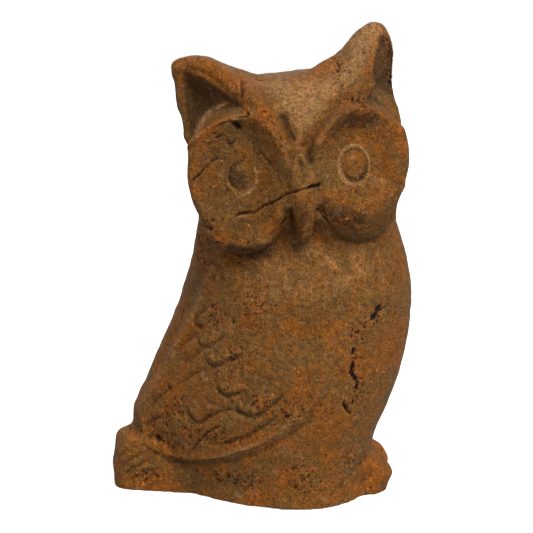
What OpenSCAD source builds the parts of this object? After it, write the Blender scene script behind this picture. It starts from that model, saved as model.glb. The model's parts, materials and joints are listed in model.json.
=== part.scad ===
// Owl figurine: a hollow terracotta bird, built from clay pieces luted together and fired.
// Frame: +Z up, origin at the centre of the flat underside, face towards -Y, chest towards +X.
// "Right" and "left" are the owl's own: its right wing and right foot lie on the -Y side,
// and because the head is turned, its right eye and right ear lie on the -X side.

/* [Overall] */
// Wall thickness of the body and head shells
wall = 8; // [6:0.5:9]
// Thickness of the slab that closes the bottom
slab_h = 8; // [6:0.5:9]
// Diameter of the kiln vent through the slab
vent_d = 16; // [8:1:24]

/* [Body] */
// Distance of the body's upright axis in front of the origin
axis_x = 27; // [25:0.5:29]
// Height of the joint between body and head
neck_z = 164; // [162:1:166]

/* [Head] */
// Distance of the head's centre in front of the origin
head_x = 27; // [25:0.5:29]
// Offset of the head's centre towards the face
head_y = -2; // [-3:0.5:-1]
// Height of the head's centre
head_z = 206; // [204:0.5:208]
// Sideways tilt of the head, in degrees
head_tilt = 4.6; // [3:0.2:6]

/* [Face] */
// Half the distance between the centres of the facial discs
disc_x = 32; // [31:0.5:33]
// Height of the facial discs below the head's centre
disc_drop = 11; // [10:0.5:12]
// Half width of a facial disc, at the middle of its rim
disc_half_w = 25; // [24:0.5:26]
// Half height of a facial disc, at the middle of its rim
disc_half_h = 31; // [30:0.5:32]
// Turn of each facial disc towards its own side, in degrees
disc_turn = 15; // [12:1:18]
// Radius of the rolled rim of a facial disc
rim_r = 5; // [4.5:0.1:5.5]
// Half width of an eye
eye_half_w = 8; // [7:0.2:8.6]
// Half height of an eye
eye_half_h = 9.6; // [9:0.2:10.4]

/* [Wings and tail] */
// Height of the folded wing above the flank
feather_h = 2; // [1.6:0.2:3]
// Height of the covert feathers above the flank
covert_h = 3.2; // [3:0.2:4.6]
// Number of ridges across the tail
tail_ridges = 5; // [4:1:6]

/* [Hidden] */

clay_brown = "#7d552d";
clay_orange = "#a8602f";
clay_olive = "#5f5030";
clay_light = "#9a6a3c";

sides = 56;        // corners of one ring of a shell
ring_steps = 2;    // rings worked out between two stations
bead_fn = 12;      // facets of the balls that rolled clay is drawn with

// Body stations: height, reach behind the axis, reach in front, half width, taper to the rear
body_stations = [
    [slab_h, 78, 43, 47, 0.60],
    [20, 87, 45, 48.5, 0.56],
    [35, 95, 47.5, 50, 0.50],
    [50, 97.5, 53.5, 51.5, 0.42],
    [73, 89, 62, 53, 0.33],
    [95, 79.5, 66, 53, 0.28],
    [116, 70.5, 67.5, 52.5, 0.22],
    [142, 62, 64, 50.5, 0.12],
    [neck_z, 57.5, 57.5, 47, 0]];

// Head stations: height about the centre, half width, reach to the face, reach to the nape
head_stations = [
    [neck_z - head_z, 57.5, 45, 49],
    [-30, 58.5, 46.5, 49],
    [-15, 59, 47.5, 49],
    [0, 58.5, 48, 49],
    [15, 57, 47.5, 47],
    [27, 53, 45, 42],
    [36, 46, 40, 34],
    [41.5, 36, 31, 24],
    [43.5, 20, 18, 12]];

// Rear end of the tail and front end of the toes
tail_end = -84;
toe_end = 84;

// Distance of the middle of a foot from the middle plane
function foot_y(side) = 6 + 13 * side;

// Middle of the joint bead at the neck and of the bead on the slab
neck_bead = [neck_z, 5];
base_bead = [slab_h + 1, 6];

// ---------- curves and rings ----------

// A smooth curve through p1 and p2, with neighbours p0 and p3
function between(p0, p1, p2, p3, t) =
    0.5 * (2 * p1 + (p2 - p0) * t + (2 * p0 - 5 * p1 + 4 * p2 - p3) * t * t
    + (3 * p1 - p0 - 3 * p2 + p3) * t * t * t);

// Stations with steps - 1 further ones worked out between each two
function smooth(stations, steps) = let (last = len(stations) - 1) [
    for (i = [0 : last - 1]) for (k = [0 : steps - 1])
        between(stations[max(0, i - 1)], stations[i], stations[i + 1],
                stations[min(last, i + 2)], k / steps),
    stations[last]];

// One level outline of the body, an egg that narrows towards the tail, moved outwards by grow
function body_ring(s, grow) = [
    for (i = [0 : sides - 1]) let (
        c = cos(360 * i / sides),
        n = sin(360 * i / sides),
        reach = (c < 0 ? s[1] : s[2]) + grow,
        half_w = s[3] * (1 - s[4] * pow(max(0, -c), 2)) + grow)
    [axis_x + reach * c, half_w * n, s[0]]];

// A rounded-square power of a sine or cosine, which flattens the face a little
function squared(v) = sign(v) * pow(abs(v), 0.88);

// How much of the head's tilt acts at a height: none at the neck joint, all above it
function tilt_at(z) = head_tilt * min(1, max(0, (z - neck_z + head_z) / 24));

// A point of the head's own frame in the row's frame
function on_head(p, tilt) = [
    head_x + p[0] * cos(tilt) - p[2] * sin(tilt),
    head_y + p[1],
    head_z + p[0] * sin(tilt) + p[2] * cos(tilt)];

// One outline of the head, moved outwards by grow
function head_ring(s, grow) = [
    for (i = [0 : sides - 1]) let (
        c = squared(cos(360 * i / sides)),
        n = squared(sin(360 * i / sides)),
        reach = (n < 0 ? s[2] : s[3]) + grow)
    on_head([(s[1] + grow) * c, reach * n, s[0]], tilt_at(s[0]))];

// Stations of the head's inner skin: the outer ones, pulled down under the crown
function head_inside(stations) = [
    for (s = stations) if (s[0] < 40) [s[0] - wall * max(0, s[0]) / 40, s[1], s[2], s[3]]];

// ---------- solids ----------

// A skin over rings that run from the bottom up, closed by a flat cap at each end
module loft(rings) {
    n = len(rings[0]);
    m = len(rings);
    polyhedron(
        points = [for (r = rings) for (p = r) p],
        faces = concat(
            [[for (i = [0 : n - 1]) i]],
            [[for (i = [0 : n - 1]) m * n - 1 - i]],
            [for (k = [0 : m - 2]) for (i = [0 : n - 1])
                [k * n + (i + 1) % n, k * n + i, (k + 1) * n + i]],
            [for (k = [0 : m - 2]) for (i = [0 : n - 1])
                [k * n + (i + 1) % n, (k + 1) * n + i, (k + 1) * n + (i + 1) % n]]));
}

// A skin over rings whose last one joins the first: a wall that is open at both ends
module sleeve(rings) {
    n = len(rings[0]);
    m = len(rings);
    polyhedron(
        points = [for (r = rings) for (p = r) p],
        faces = concat(
            [for (k = [0 : m - 1]) for (i = [0 : n - 1])
                [k * n + (i + 1) % n, k * n + i, ((k + 1) % m) * n + i]],
            [for (k = [0 : m - 1]) for (i = [0 : n - 1])
                [k * n + (i + 1) % n, ((k + 1) % m) * n + i, ((k + 1) % m) * n + (i + 1) % n]]));
}

function reversed(list) = [for (i = [len(list) - 1 : -1 : 0]) list[i]];

// The body and the head as full solids, moved outwards by grow
module body_solid(grow = 0) {
    loft([for (s = smooth(body_stations, ring_steps)) body_ring(s, grow)]);
}

module head_solid() {
    loft([for (s = smooth(head_stations, ring_steps)) head_ring(s, 0)]);
}

// Rolled clay: balls of the given radii at the given places, each joined to the next
module roll(places, radii) {
    for (i = [0 : len(places) - 2]) {
        hull() {
            translate(places[i]) sphere(r = radii[i], $fn = bead_fn);
            translate(places[i + 1]) sphere(r = radii[i + 1], $fn = bead_fn);
        }
    }
}

// A bead of rolled clay along an outline, as luting on the inside of a joint
module bead(outline, bead_r) {
    n = len(outline);
    for (i = [0 : 2 : n - 2]) {
        hull() {
            translate(outline[i]) sphere(r = bead_r, $fn = bead_fn);
            translate(outline[(i + 2) % n]) sphere(r = bead_r, $fn = bead_fn);
        }
    }
}

// ---------- shells, slab and luting ----------

// Outline of the underside: the body, with the tail behind and the toes in front
module footprint() {
    offset(r = 7, $fn = 32) offset(r = -13, $fn = 32) offset(r = 6, $fn = 32) {
        polygon([for (p = body_ring(body_stations[0], 1)) [p[0], p[1]]]);
        hull() {
            translate([tail_end + 13, 0]) circle(r = 13, $fn = 32);
            translate([-34, 0]) circle(r = 19, $fn = 32);
        }
        for (side = [-1, 1]) {
            translate([toe_end - 15, foot_y(side)]) circle(r = 15, $fn = 32);
        }
    }
}

module base_slab() {
    color(clay_orange)
    difference() {
        linear_extrude(height = slab_h) footprint();
        translate([axis_x - 8, 0, -1]) cylinder(d = vent_d, h = slab_h + 2, $fn = 48);
    }
}

module base_coil() {
    color(clay_olive)
    intersection() {
        bead([for (p = body_ring(body_stations[0], -wall)) [p[0], p[1], base_bead[0]]],
             base_bead[1]);
        loft([for (s = smooth(body_stations, ring_steps)) body_ring(s, -wall)]);
    }
}

module body_shell() {
    stations = smooth(body_stations, ring_steps);
    color(clay_brown)
    sleeve(concat(
        [for (s = stations) body_ring(s, 0)],
        [for (s = reversed(stations)) body_ring(s, -wall)]));
}

module neck_coil() {
    color(clay_olive)
    intersection() {
        bead([for (p = body_ring(body_stations[len(body_stations) - 1], -wall))
              [p[0], p[1], neck_bead[0]]], neck_bead[1]);
        union() {
            loft([for (s = smooth(body_stations, ring_steps)) body_ring(s, -wall)]);
            loft([for (s = head_inside(smooth(head_stations, ring_steps))) head_ring(s, -wall)]);
        }
    }
}

module head_shell() {
    stations = smooth(head_stations, ring_steps);
    color(clay_brown)
    loft(concat(
        [for (s = reversed(head_inside(stations))) head_ring(s, -wall)],
        [for (s = stations) head_ring(s, 0)]));
}

// ---------- face ----------

// Places something at a facial disc: side is -1 for the owl's right disc, +1 for its left
module at_disc(side, drop = disc_drop) {
    translate([head_x, head_y, head_z])
    rotate([0, -head_tilt, 0])
    translate([side * disc_x, -46, -drop])
    rotate([0, 0, side * disc_turn])
    children();
}

// A clay pellet pressed into its socket
module eye_pellet(side) {
    at_disc(side, 7.5)
    hull() {
        for (z = [-1, 1]) {
            translate([-1 - side * 1.5, -5, z * (eye_half_h - eye_half_w)])
            rotate([90, 0, 0]) {
                cylinder(r = eye_half_w, h = 1.4, $fn = 24);
                cylinder(r = eye_half_w * 0.86, h = 3.2, $fn = 24);
                cylinder(r = eye_half_w * 0.5, h = 4.6, $fn = 24);
            }
        }
    }
}

module facial_disc(side) {
    count = 20;
    spots = [for (i = [0 : count]) [
        disc_half_w * cos(360 * i / count), -4, disc_half_h * sin(360 * i / count)]];
    color(clay_brown)
    difference() {
        at_disc(side) {
            roll(spots, [for (p = spots) rim_r]);
            hull() {
                for (p = spots) {
                    translate([p[0], 0, p[2]]) sphere(r = 5, $fn = 8);
                }
                translate([0, 8, 0]) sphere(r = 16, $fn = 16);
            }
        }
        head_solid();
        body_solid();
        eye_pellet(side);
        brow_solid(side);
        ear_solid(side);
    }
}

module beak_solid() {
    roll([[26.5, -54, 210], [27, -56, 205], [27.5, -58, 200], [28, -60, 194], [28.5, -61, 188],
          [29, -61, 182], [29.5, -60.5, 176], [30, -60, 170], [30, -59, 165], [30, -57.5, 161]],
         [3, 4.2, 5.6, 7, 8, 7.6, 6.6, 5.6, 4.8, 3.6]);
}

module beak() {
    color(clay_light)
    difference() {
        beak_solid();
        head_solid();
        body_solid();
        facial_disc(-1);
        facial_disc(1);
    }
}

// Places along a brow, from the ear tuft down to the top of the beak
right_brow_line = [[-32, -22, 253], [-23, -28, 250], [-14, -34, 245.5], [-5.5, -40, 240.5], [1, -45, 236],
                   [6.5, -48.5, 230], [11.5, -50.5, 224], [16, -52, 218], [20, -53, 212], [23.5, -53.5, 207]];
left_brow_line = [[70, -22, 268], [69, -27, 259], [66, -32, 250], [61, -38, 242], [56, -43, 236],
                  [50, -46.5, 229], [44, -49, 221], [38, -51, 214], [34, -52, 210], [31, -53, 206]];
brow_radii = [5, 6, 6.6, 6.8, 6.4, 5.8, 5.2, 4.8, 4.2, 3.6];

module brow_solid(side) {
    roll(side < 0 ? right_brow_line : left_brow_line, brow_radii);
}

module brow(side) {
    color(clay_light)
    difference() {
        brow_solid(side);
        head_solid();
        beak_solid();
    }
}

module chin_ruff(side) {
    spots = [for (a = [-45 : -10 : -125]) [
        side * 30 * cos(a), -1.5 + 1.5 * sin(a), 35 * sin(a)]];
    color(clay_brown)
    difference() {
        at_disc(side) roll(spots, [for (i = [0 : len(spots) - 1]) 3.6 + 3 * sin(180 * i / 8)]);
        head_solid();
        body_solid();
        facial_disc(side);
        facial_disc(-side);
        beak_solid();
    }
}

// ---------- ear tufts ----------

// Places of an ear tuft: its tip, its feet from the outer one round by the face to the nape, the
// heart of it inside the head, and the two ends of its hollow
right_ear = [[-38.5, -16, 254.5], [-30, -18, 213], [-2, -38, 238], [4, -22, 242], [-12, 12, 234],
             [-8, -8, 222], [-31, -38, 231], [-36, -29, 243]];
left_ear = [[71, -15, 274], [77, -13, 222], [54, -41, 236], [38, -21, 246], [58, 15, 236],
            [58, -6, 226], [86, -34, 243], [82, -27, 258]];
ear_foot_r = [6, 7, 7.5, 9];

module ear_solid(side) {
    c = side < 0 ? right_ear : left_ear;
    difference() {
        union() {
            for (k = [0 : 3]) {
                hull() {
                    translate(c[0]) sphere(r = 5.4, $fn = 16);
                    translate(c[k + 1]) sphere(r = ear_foot_r[k], $fn = 16);
                    translate(c[(k + 1) % 4 + 1]) sphere(r = ear_foot_r[(k + 1) % 4], $fn = 16);
                    translate(c[5]) sphere(r = 9, $fn = 16);
                }
            }
            for (k = [0 : 3]) roll([c[0], (c[0] + c[k + 1]) / 2, c[k + 1]], [5.6, 6.4, ear_foot_r[k]]);
        }
        hull() {
            translate(c[6]) sphere(r = 13, $fn = 24);
            translate(c[7]) sphere(r = 6.5, $fn = 24);
        }
    }
}

module ear_tuft(side) {
    color(clay_olive)
    difference() {
        ear_solid(side);
        head_solid();
        brow_solid(side);
    }
}

// ---------- wings ----------

// Outline of a folded wing, from the shoulder down its rear edge, along its lower edge and up the
// breast: distance forward, height
wing_outline = [[-16, 147], [-27, 128], [-38, 104], [-46, 87], [-54, 73], [-61, 60], [-65, 49],
                [-65, 38], [-62, 31], [-56, 26], [-48, 24], [-39, 24], [-29, 26], [-18, 29], [-8, 33],
                [6, 40], [22, 52], [32, 61], [40, 73], [45, 85], [43, 97], [34, 109], [18, 123], [2, 137]];
// Covert feathers: root, then tip
coverts = [[[-12, 116], [-25, 110]], [[-12, 106], [-24, 100]], [[-4, 98], [-19, 91]],
           [[2, 80], [-13, 75]], [[20, 77], [1, 65]], [[-22, 66], [-29, 57]]];

// The stretch across one half of the body that shows a flat shape lying against the flank
module against_flank() {
    rotate([90, 0, 0])
    translate([0, 0, 5])
    linear_extrude(height = 75)
    children();
}

// side is -1 for the owl's right wing, +1 for its left
module wing(side) {
    color(clay_brown)
    scale([1, -side, 1])
    difference() {
        union() {
            intersection() {
                body_solid(feather_h);
                against_flank() offset(r = 4, $fn = 32) offset(r = -4, $fn = 32) polygon(wing_outline);
            }
            intersection() {
                body_solid(covert_h);
                against_flank() union() for (c = coverts) {
                    hull() {
                        translate(c[0]) circle(r = 6, $fn = 24);
                        translate(c[1]) circle(r = 6, $fn = 24);
                    }
                }
            }
        }
        body_solid();
    }
}

// ---------- tail and feet ----------

// Everything under the top of the slab
module below_slab_top() {
    translate([-150, -100, slab_h - 60]) cube([300, 200, 60]);
}

module tail() {
    color(clay_brown)
    difference() {
        union() {
            for (i = [0 : tail_ridges - 1]) let (v = 2 * i / (tail_ridges - 1) - 1) {
                hull() {
                    translate([-36, 11 * v, 34]) sphere(r = 9, $fn = 16);
                    translate([tail_end + 10 + 3 * abs(v), 8 * v, 28.5 - 4 * abs(v)])
                        sphere(r = 8, $fn = 16);
                }
                hull() {
                    translate([-36, 12 * v, slab_h]) cylinder(r = 8, h = 20, $fn = 16);
                    translate([tail_end + 8 + 3 * abs(v), 7 * v, 18]) sphere(r = 8, $fn = 16);
                    translate([tail_end + 8 + 3 * abs(v), 6 * v, slab_h])
                        cylinder(r = 7, h = 6, $fn = 16);
                }
            }
        }
        body_solid();
        below_slab_top();
    }
}

// side is -1 for the owl's right foot, +1 for its left
module foot(side) {
    color(clay_orange)
    difference() {
        union() {
            for (t = [-1, 0, 1]) let (y = foot_y(side) + 5.5 * t) {
                hull() {
                    translate([58, y, 20]) sphere(r = 11, $fn = 16);
                    translate([toe_end - 10 - 2 * abs(t), y, slab_h + 6]) sphere(r = 8, $fn = 16);
                }
                hull() {
                    translate([66, y, slab_h + 8]) sphere(r = 10, $fn = 16);
                    translate([toe_end - 8.5 - 2 * abs(t), y, slab_h]) cylinder(r = 7, h = 5, $fn = 16);
                }
                hull() {
                    translate([52, y, slab_h]) cylinder(r = 10, h = 12, $fn = 16);
                    translate([toe_end - 9 - 2 * abs(t), y, slab_h]) cylinder(r = 8, h = 2, $fn = 16);
                }
            }
        }
        body_solid();
        below_slab_top();
        translate([-150, side > 0 ? foot_y(0) - 200 : foot_y(0), 0]) cube([300, 200, 100]);
    }
}

// ---------- the pieces ----------

base_slab();
base_coil();
body_shell();
neck_coil();
head_shell();
ear_tuft(-1);  // right_ear_tuft
ear_tuft(1);  // left_ear_tuft
brow(-1);  // right_brow
brow(1);  // left_brow
facial_disc(-1);  // right_facial_disc
facial_disc(1);  // left_facial_disc
color(clay_olive) eye_pellet(-1);  // right_eye
color(clay_light) eye_pellet(1);  // left_eye
beak();
chin_ruff(-1);  // right_chin_ruff
chin_ruff(1);  // left_chin_ruff
wing(-1);  // right_wing
wing(1);  // left_wing
tail();
foot(-1);  // right_foot
foot(1);  // left_foot
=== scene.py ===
"""Owl figurine in unglazed terracotta: one sculpted skin, parted into the clay pieces it is built from.

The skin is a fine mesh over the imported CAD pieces. Strokes drawn on it in millimetres carve the face, the
feathers and the cracks, and leave masks that the clay material reads. Each CAD piece then takes its own
share of the skin, closed underneath by the piece it sits on.
"""
import json
import math

import bmesh
import bpy
import numpy as np
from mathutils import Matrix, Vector
from mathutils.bvhtree import BVHTree
from mathutils.kdtree import KDTree


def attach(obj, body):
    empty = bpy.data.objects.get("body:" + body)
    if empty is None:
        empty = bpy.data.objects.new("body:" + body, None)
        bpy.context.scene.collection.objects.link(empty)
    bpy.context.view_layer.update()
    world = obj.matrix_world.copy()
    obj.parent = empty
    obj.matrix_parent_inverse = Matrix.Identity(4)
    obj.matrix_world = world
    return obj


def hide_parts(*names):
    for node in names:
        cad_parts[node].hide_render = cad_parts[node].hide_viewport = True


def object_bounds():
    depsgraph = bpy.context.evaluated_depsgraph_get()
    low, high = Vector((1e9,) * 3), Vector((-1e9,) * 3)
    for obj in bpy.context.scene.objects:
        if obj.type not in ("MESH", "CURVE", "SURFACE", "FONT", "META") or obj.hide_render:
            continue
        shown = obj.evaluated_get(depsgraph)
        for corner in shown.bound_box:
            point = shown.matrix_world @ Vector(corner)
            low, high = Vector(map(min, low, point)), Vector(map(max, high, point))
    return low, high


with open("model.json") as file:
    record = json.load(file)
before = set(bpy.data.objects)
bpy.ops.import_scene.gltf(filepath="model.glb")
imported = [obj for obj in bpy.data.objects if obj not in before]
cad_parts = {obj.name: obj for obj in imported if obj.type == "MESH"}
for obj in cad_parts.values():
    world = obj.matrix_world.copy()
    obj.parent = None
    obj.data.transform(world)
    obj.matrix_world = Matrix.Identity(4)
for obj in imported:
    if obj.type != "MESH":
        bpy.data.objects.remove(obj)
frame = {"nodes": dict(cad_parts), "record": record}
CAD_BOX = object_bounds()

MM = 0.001
VOXEL = 1.0                             # mm, grain of the skin's mesh
HEAD = np.array([27.0, -2.0, 206.0])    # middle of the head, mm
TILT = math.radians(4.6)                # how far the head leans
SLAB_TOP = 8.0                          # height of the bottom slab, mm
VENT = (19.0, 0.0, 8.0)                 # place and radius of the vent in the slab, mm
COILS = ("base_coil", "neck_coil")      # clay that the shells hide
WINGS = ("right_wing", "left_wing")     # modelled on the body's skin, on the near and the far flank

# What sits on what, from the shells outwards
COVERS = {
    "head_shell": ("right_ear_tuft", "left_ear_tuft", "right_brow", "left_brow", "right_facial_disc",
                   "left_facial_disc", "right_eye", "left_eye", "beak", "right_chin_ruff", "left_chin_ruff"),
    "body_shell": ("right_wing", "left_wing", "tail", "right_foot", "left_foot"),
    "right_facial_disc": ("right_eye",),
    "left_facial_disc": ("left_eye",),
}
# How thick a piece is at least, in mm
THICK = {"right_eye": 6, "left_eye": 6, "right_facial_disc": 4, "left_facial_disc": 4, "beak": 4}
THIN = 2.5
BORDER_PASSES = 14                      # how often the borders between pieces are smoothed


# ---------- mesh arithmetic, in millimetres ----------

def mesh_arrays(mesh):
    """Points and triangles of a mesh."""
    points = np.empty(len(mesh.vertices) * 3)
    mesh.vertices.foreach_get("co", points)
    mesh.calc_loop_triangles()
    triangles = np.empty(len(mesh.loop_triangles) * 3, dtype=np.int64)
    mesh.loop_triangles.foreach_get("vertices", triangles)
    return points.reshape(-1, 3) / MM, triangles.reshape(-1, 3)


def smoothstep(low, high, value):
    """0 below low and 1 above high, softly between; the other way round when low is above high."""
    t = np.clip((value - low) / (high - low), 0, 1)
    return t * t * (3 - 2 * t)


def unit(vectors):
    return vectors / (np.linalg.norm(vectors, axis=1, keepdims=True) + 1e-12)


def strongest(*marks):
    """The highest of several masks at each vertex."""
    return np.maximum.reduce(marks)


def sides(quads):
    """The two ends of every side of every quad, the lower number first."""
    pairs = np.concatenate([quads[:, [i, (i + 1) % 4]] for i in range(4)])
    pairs.sort(axis=1)
    return pairs


def islands(count, left, right):
    """One number for all things that are joined by pairs of left and right."""
    label = np.arange(count)
    while True:
        low = np.minimum(label[left], label[right])
        new = label.copy()
        np.minimum.at(new, left, low)
        np.minimum.at(new, right, low)
        new = new[new]
        if (new == label).all():
            return label
        label = new


def add_object(name, data):
    made = bpy.data.objects.new(name, data)
    bpy.context.scene.collection.objects.link(made)
    return made


class Skin:
    """A quad mesh as arrays, with its edges and its smoothing."""

    def __init__(self, points, quads):
        self.points = points
        self.quads = quads
        self.edges = np.unique(sides(quads), axis=0)
        self.degree = np.bincount(self.edges.ravel(), minlength=len(points))

    def spread(self, values):
        """Mean of each vertex's neighbours."""
        a, b = self.edges.T
        n = len(self.points)
        if values.ndim == 1:
            total = np.bincount(a, values[b], n) + np.bincount(b, values[a], n)
            return total / self.degree
        return np.stack([self.spread(column) for column in values.T], axis=1)

    def blur(self, values, passes, weight=1.0):
        for _ in range(passes):
            step = self.spread(values) - values
            values = values + 0.5 * (step.T * weight).T
        return values

    def relax(self, passes):
        """Smooths the shape and keeps its volume."""
        for _ in range(passes):
            self.points = self.points + 0.5 * (self.spread(self.points) - self.points)
            self.points = self.points - 0.52 * (self.spread(self.points) - self.points)

    def normals(self):
        p = self.points[self.quads]
        face = np.cross(p[:, 2] - p[:, 0], p[:, 3] - p[:, 1])
        total = np.stack([np.bincount(self.quads.ravel(), np.repeat(face[:, k], 4), len(self.points))
                          for k in range(3)], axis=1)
        return unit(total)


def joined_cad():
    """The CAD pieces that the skin covers, and a plug in the vent, as one mesh."""
    whole = bmesh.new()
    for name, node in frame["nodes"].items():
        if name not in COILS + WINGS:
            whole.from_mesh(node.data)
    plug = bmesh.ops.create_cone(whole, cap_ends=True, segments=24, radius1=0.012, radius2=0.012,
                                 depth=SLAB_TOP * MM)
    bmesh.ops.translate(whole, verts=plug["verts"],
                        vec=Vector((VENT[0], VENT[1], SLAB_TOP / 2)) * MM)
    mesh = bpy.data.meshes.new("cad")
    whole.to_mesh(mesh)
    whole.free()
    return mesh


def remeshed(mesh):
    """A mesh of even quads over another one."""
    helper = add_object("helper", mesh)
    remesh = helper.modifiers.new("remesh", "REMESH")
    remesh.mode = "VOXEL"
    remesh.voxel_size = VOXEL * MM
    remesh.adaptivity = 0
    graph = bpy.context.evaluated_depsgraph_get()
    result = bpy.data.meshes.new_from_object(helper.evaluated_get(graph))
    bpy.data.objects.remove(helper)
    return result


def outer_island(points, quads):
    """Drops the closed surfaces inside the skin."""
    label = islands(len(points), *sides(quads).T)
    keep = label == label[points[:, 2].argmax()]
    place = np.cumsum(keep) - 1
    return points[keep], place[quads[keep[quads[:, 0]]]]


def make_skin():
    mesh = remeshed(joined_cad())
    quads = np.empty(len(mesh.polygons) * 4, dtype=np.int64)
    mesh.polygons.foreach_get("vertices", quads)
    return Skin(*outer_island(mesh_arrays(mesh)[0], quads.reshape(-1, 4)))


def search_tree(points, triangles):
    return BVHTree.FromPolygons(points.tolist(), triangles.tolist())


def tree_of(names):
    """A search tree over CAD nodes, and which node each of its faces is from."""
    points, faces, owner, count = [], [], [], 0
    for k, name in enumerate(names):
        p, t = mesh_arrays(frame["nodes"][name].data)
        points.append(p)
        faces.append(t + count)
        owner.append(np.full(len(t), k))
        count += len(p)
    return search_tree(np.concatenate(points), np.concatenate(faces)), np.concatenate(owner)


def nearest(tree, points):
    """The nearest place on a tree for each point, and the face it is on."""
    found = [tree.find_nearest(p) for p in points]
    return np.array([f[0] for f in found]), np.array([f[2] for f in found])


# ---------- noise ----------

def lattice(cell, seed):
    """A fixed random value from -1 to 1 for each whole-number cell."""
    h = (cell[:, 0] * 374761393 + cell[:, 1] * 668265263 + cell[:, 2] * 2147483647 + seed * 1274126177)
    h = (h ^ (h >> 13)) * 1274126177
    h = h ^ (h >> 16)
    return (h & 0xFFFF) / 32767.5 - 1


def noise(points, size, seed=0):
    """Smooth noise between about -1 and 1 with grains of a size in mm."""
    place = points / size
    cell = np.floor(place).astype(np.int64)
    t = place - cell
    t = t * t * (3 - 2 * t)
    total = np.zeros(len(points))
    for corner in np.ndindex(2, 2, 2):
        share = np.prod(np.where(corner, t, 1 - t), axis=1)
        total += share * lattice(cell + corner, seed)
    return total


# ---------- strokes ----------

def rounded(points, closed=False, steps=6):
    """A smooth line through a few points."""
    p = np.array(points, dtype=float)
    if len(p) < 3:
        return p
    if closed:
        p = np.vstack([p[-1:], p, p[:2]])
    else:
        p = np.vstack([2 * p[0] - p[1], p, 2 * p[-1] - p[-2]])
    line = []
    for a, b, c, d in zip(p[:-3], p[1:-2], p[2:-1], p[3:]):
        for t in np.arange(steps) / steps:
            line.append(0.5 * (2 * b + (c - a) * t + (2 * a - 5 * b + 4 * c - d) * t * t
                               + (3 * b - a - 3 * c + d) * t ** 3))
    line.append(p[-2])
    return np.array(line)


class Sheet:
    """A drawing plane laid over part of the skin: u and v of each vertex, and how far it faces the plane."""

    def __init__(self, u, v, facing):
        self.u = u
        self.v = v
        self.facing = facing

    def measure(self, line, reach):
        """Vertices near a line: their numbers, distance, share of the way along, and side of it."""
        low = line.min(axis=0) - reach
        high = line.max(axis=0) + reach
        pick = np.flatnonzero((self.u > low[0]) & (self.u < high[0]) & (self.v > low[1])
                              & (self.v < high[1]) & (self.facing > 0))
        u = self.u[pick]
        v = self.v[pick]
        gap = np.full(len(pick), 1e9)
        share = np.zeros(len(pick))
        side = np.ones(len(pick))
        length = np.hypot(*(line[1:] - line[:-1]).T)
        before = np.concatenate([[0], np.cumsum(length)])
        for start, end, size, done in zip(line[:-1], line[1:], length, before):
            du, dv = end - start
            t = np.clip(((u - start[0]) * du + (v - start[1]) * dv) / size ** 2, 0, 1)
            away = np.hypot(u - start[0] - t * du, v - start[1] - t * dv)
            closer = away < gap
            gap[closer] = away[closer]
            share[closer] = ((done + t * size) / before[-1])[closer]
            side[closer] = np.sign(du * (v - start[1]) - dv * (u - start[0]))[closer]
        return pick, gap, share, side

    def line(self, points, width, ends=0.1):
        """1 on a smooth line, falling to 0 over width; ends is the share of it that fades at each end."""
        mark = np.zeros(len(self.u))
        pick, gap, share, _ = self.measure(rounded(points), 3 * width)
        value = np.exp(-(gap / width) ** 2)
        if ends:
            value = value * smoothstep(0, ends, share) * smoothstep(0, ends, 1 - share)
        mark[pick] = value * self.facing[pick]
        return mark

    def step(self, points, width, ends=0.15):
        """Between -1 and 1 across a line, positive on its left, and 0 further off than about width."""
        mark = np.zeros(len(self.u))
        pick, gap, share, side = self.measure(rounded(points), 3 * width)
        fade = smoothstep(0, ends, share) * smoothstep(0, ends, 1 - share)
        rise = side * np.minimum(gap / (0.25 * width), 1)
        mark[pick] = rise * np.exp(-(gap / width) ** 2) * fade * self.facing[pick]
        return mark

    def spot(self, place, width, height=None):
        """1 at a place, falling to 0 over an oval."""
        height = height or width
        away = np.hypot((self.u - place[0]) / width, (self.v - place[1]) / height)
        return np.exp(-away ** 2) * self.facing

    def inside(self, points, reach=30.0):
        """Distance from a closed smooth outline: positive inside it, at most reach either way."""
        line = rounded(points, closed=True)
        depth = np.full(len(self.u), -reach)
        pick, gap, _, _ = self.measure(line, reach)
        u = self.u[pick]
        v = self.v[pick]
        odd = np.zeros(len(pick), dtype=bool)
        for start, end in zip(line[:-1], line[1:]):
            if start[1] == end[1]:
                continue
            crossing = (start[1] > v) != (end[1] > v)
            odd ^= crossing & (u < start[0] + (v - start[1]) * (end[0] - start[0]) / (end[1] - start[1]))
        depth[pick] = np.clip(np.where(odd, gap, -gap), -reach, reach)
        return depth


def face_sheet(skin):
    """The plane of the face, upright along the leaning head, with its middle at the head's middle."""
    x, _, z = (skin.points - HEAD).T
    u = math.cos(TILT) * x + math.sin(TILT) * z
    v = -math.sin(TILT) * x + math.cos(TILT) * z
    return Sheet(u, v, smoothstep(0.0, 0.35, -skin.normals()[:, 1]))


def flank_sheet(skin, side):
    """The upright plane along the owl's flank: side is -1 for the near one, 1 for the far one."""
    return Sheet(skin.points[:, 0], skin.points[:, 2], smoothstep(0.0, 0.3, side * skin.normals()[:, 1]))


def drawn(sheet, strokes):
    """Masks of strokes, each given by its strength, line, width and the share that fades at each end."""
    return [strength * sheet.line(points, *shape) for strength, points, *shape in strokes]


def dabbed(sheet, spots):
    """Masks of spots, each given by its strength, its place, and its half width and height."""
    return [strength * sheet.spot(place, *size) for strength, place, *size in spots]


# ---------- outlines of the face, in mm from the head's middle ----------

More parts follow.
